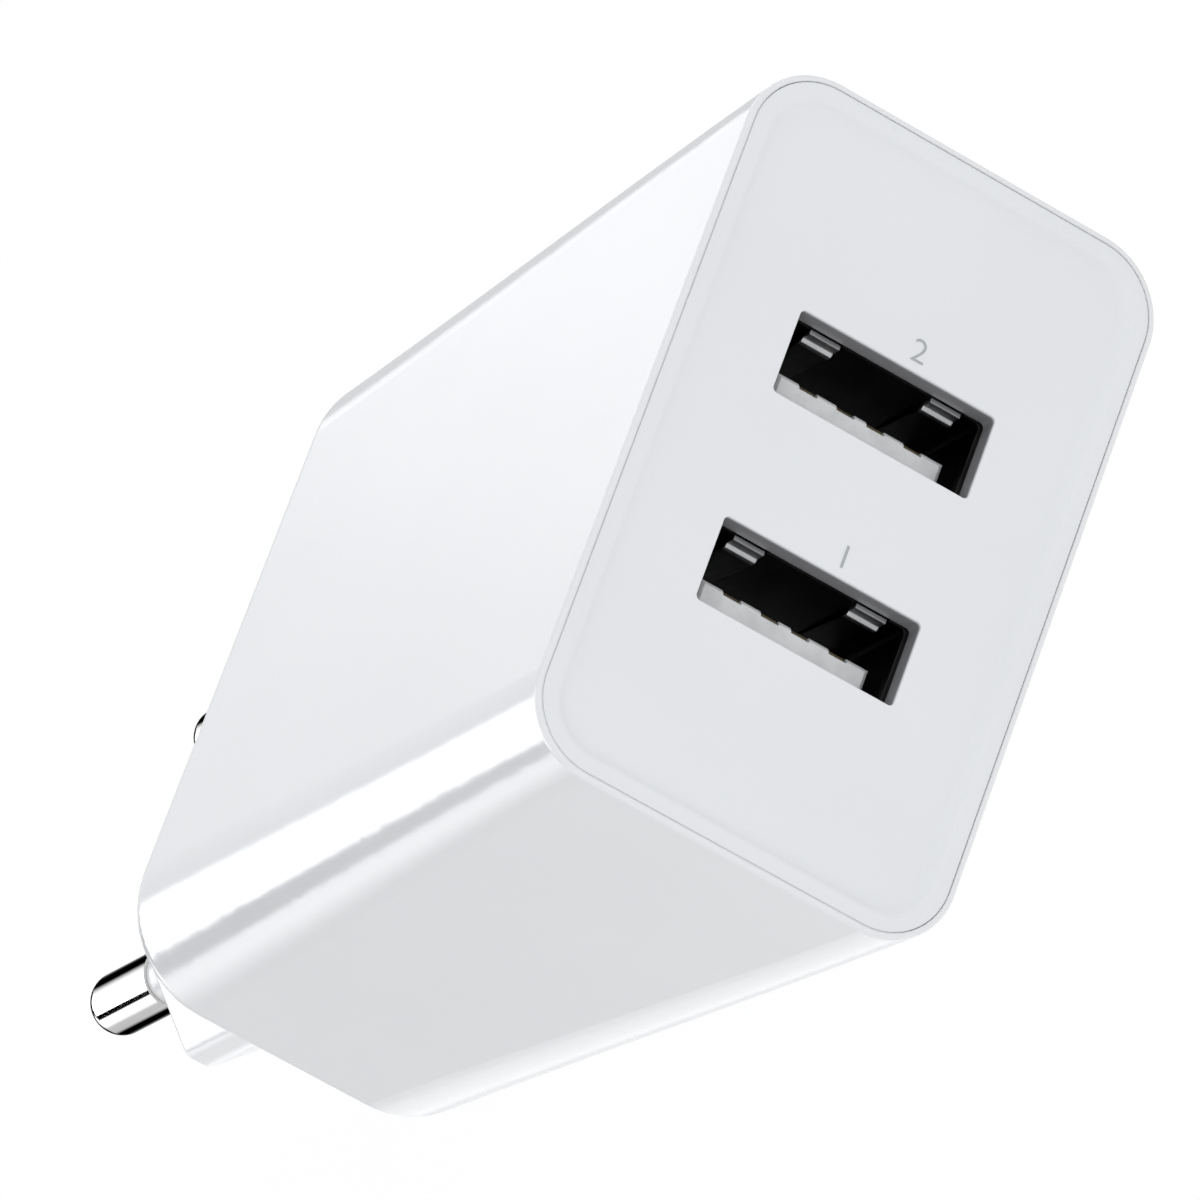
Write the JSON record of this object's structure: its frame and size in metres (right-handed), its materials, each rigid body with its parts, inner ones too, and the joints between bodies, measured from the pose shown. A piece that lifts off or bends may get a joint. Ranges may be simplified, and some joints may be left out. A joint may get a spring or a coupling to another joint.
{
  "type": "usb wall charger",
  "caption": "White wall charger with tapered rounded housing, flat round-pin mains plug and a pair of USB-A outlets side by side in a dished front cover.",
  "frame": {"origin": "centre of the plug's engagement face, midway between the pins", "axes": "+Y along the pins, out of the plug face towards the socket; X through both pins, with port 2 on the +X side and port 1 on the -X side; +Z out of one broad side, up when the charger lies on its other broad side"},
  "size_m": [0.045, 0.0903, 0.0272],
  "materials": {
    "housing_white": "glossy moulded white",
    "cover_white": "glossy moulded white",
    "plug_white": "semi-gloss moulded white",
    "sleeve_white": "semi-gloss",
    "nickel_plate": "polished nickel plate",
    "contact_strip": "bright rolled strip",
    "board_laminate": "solder-masked glass laminate",
    "port_steel": "plated stamped steel",
    "port_core": "moulded, semi-matte",
    "port_blades": "plated",
    "ferrite": "ground ferrite",
    "bobbin_plastic": "moulded black",
    "copper_wire": "enamelled copper",
    "yellow_tape": "polyester tape",
    "tinned_wire": "tinned",
    "mains_can_sleeve": "printed film sleeve over aluminium",
    "output_can_sleeve": "printed film sleeve over aluminium",
    "disc_coating": "epoxy dip",
    "fuse_coating": "cement coat",
    "chip_epoxy": "moulded epoxy",
    "resistor_ceramic": "glazed",
    "capacitor_ceramic": "fired ceramic",
    "sheet_film": "film"
  },
  "bodies": {
    "root": {"main_shell": "housing_white", "front_cover": "cover_white", "plug_carrier": "plug_white", "mains_pin_left": "nickel_plate", "mains_pin_right": "nickel_plate", "pin_sleeve_left": "sleeve_white", "pin_sleeve_right": "sleeve_white", "mains_contact_left": "contact_strip", "mains_contact_right": "contact_strip", "main_board": "board_laminate", "usb_shell_1": "port_steel", "usb_shell_2": "port_steel", "usb_insulator_1": "port_core", "usb_insulator_2": "port_core", "usb_contacts_1": "port_blades", "usb_contacts_2": "port_blades", "core_half_rear": "ferrite", "core_half_front": "ferrite", "transformer_bobbin": "bobbin_plastic", "transformer_winding": "copper_wire", "winding_tape": "yellow_tape", "core_tape": "yellow_tape", "transformer_pins": "tinned_wire", "input_capacitor_left": "mains_can_sleeve", "input_capacitor_right": "mains_can_sleeve", "output_capacitor_left": "output_can_sleeve", "output_capacitor_right": "output_can_sleeve", "y_capacitor": "disc_coating", "fuse_resistor": "fuse_coating", "choke_core": "ferrite", "choke_winding": "copper_wire", "bridge_rectifier": "chip_epoxy", "primary_controller": "chip_epoxy", "output_rectifier": "chip_epoxy", "port_controller": "chip_epoxy", "chip_resistors": "resistor_ceramic", "chip_capacitors": "capacitor_ceramic", "insulation_sheet": "sheet_film"}
  },
  "joints": []
}
